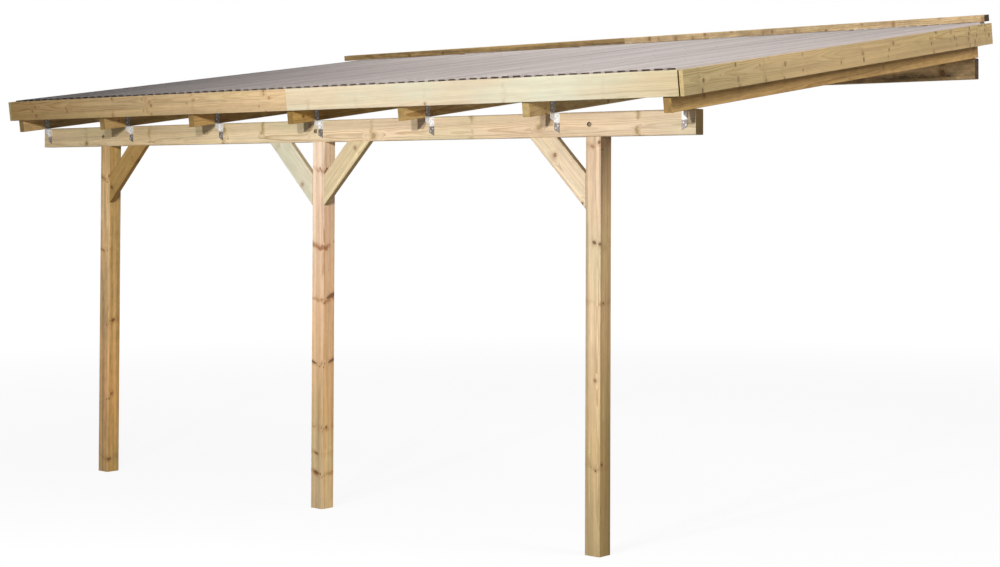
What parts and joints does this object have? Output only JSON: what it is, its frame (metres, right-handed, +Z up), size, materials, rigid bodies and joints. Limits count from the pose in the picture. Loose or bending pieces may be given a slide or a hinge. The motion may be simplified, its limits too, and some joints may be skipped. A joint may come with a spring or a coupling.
{
  "type": "lean-to timber pergola",
  "caption": "Wall-mounted lean-to timber pergola: square posts with knee braces carry a front beam and sloping rafters under a corrugated translucent roof.",
  "frame": {"origin": "middle of the ledger's wall face", "axes": "+X along the wall, left to right as seen from the front, +Y into the wall, +Z up"},
  "size_m": [5.219, 3.1066, 2.7773],
  "materials": {
    "post_timber": "planed pressure-treated softwood",
    "beam_timber": "planed pressure-treated softwood",
    "brace_timber": "planed pressure-treated softwood",
    "rafter_timber": "planed pressure-treated softwood",
    "ledger_timber": "planed pressure-treated softwood",
    "zinc_steel": "hot-dip galvanised sheet",
    "lath_timber": "sawn pressure-treated softwood",
    "front_board_timber": "planed pressure-treated softwood",
    "side_board_timber": "planed pressure-treated softwood",
    "roof_plastic": "smoke-tinted translucent corrugated plastic",
    "batten_timber": "planed pressure-treated softwood",
    "bolt_steel": "zinc-plated steel"
  },
  "bodies": {
    "root": {"post_left": "post_timber", "post_middle": "post_timber", "post_right": "post_timber", "front_beam": "beam_timber", "brace_left": "brace_timber", "brace_middle_left": "brace_timber", "brace_middle_right": "brace_timber", "brace_right": "brace_timber", "rafter_1": "rafter_timber", "rafter_2": "rafter_timber", "rafter_3": "rafter_timber", "rafter_4": "rafter_timber", "rafter_5": "rafter_timber", "rafter_6": "rafter_timber", "rafter_7": "rafter_timber", "wall_ledger": "ledger_timber", "anchor_1": "zinc_steel", "anchor_2": "zinc_steel", "anchor_3": "zinc_steel", "anchor_4": "zinc_steel", "anchor_5": "zinc_steel", "anchor_6": "zinc_steel", "anchor_7": "zinc_steel", "lath_1": "lath_timber", "lath_2": "lath_timber", "lath_3": "lath_timber", "lath_4": "lath_timber", "lath_5": "lath_timber", "lath_6": "lath_timber", "front_board_left": "front_board_timber", "front_board_right": "front_board_timber", "side_board_left": "side_board_timber", "side_board_right": "side_board_timber", "roof_sheet_1": "roof_plastic", "roof_sheet_2": "roof_plastic", "roof_sheet_3": "roof_plastic", "roof_sheet_4": "roof_plastic", "roof_sheet_5": "roof_plastic", "wall_batten_left": "batten_timber", "wall_batten_right": "batten_timber", "post_bolt_left": "bolt_steel", "post_bolt_middle": "bolt_steel", "post_bolt_right": "bolt_steel"}
  },
  "joints": []
}
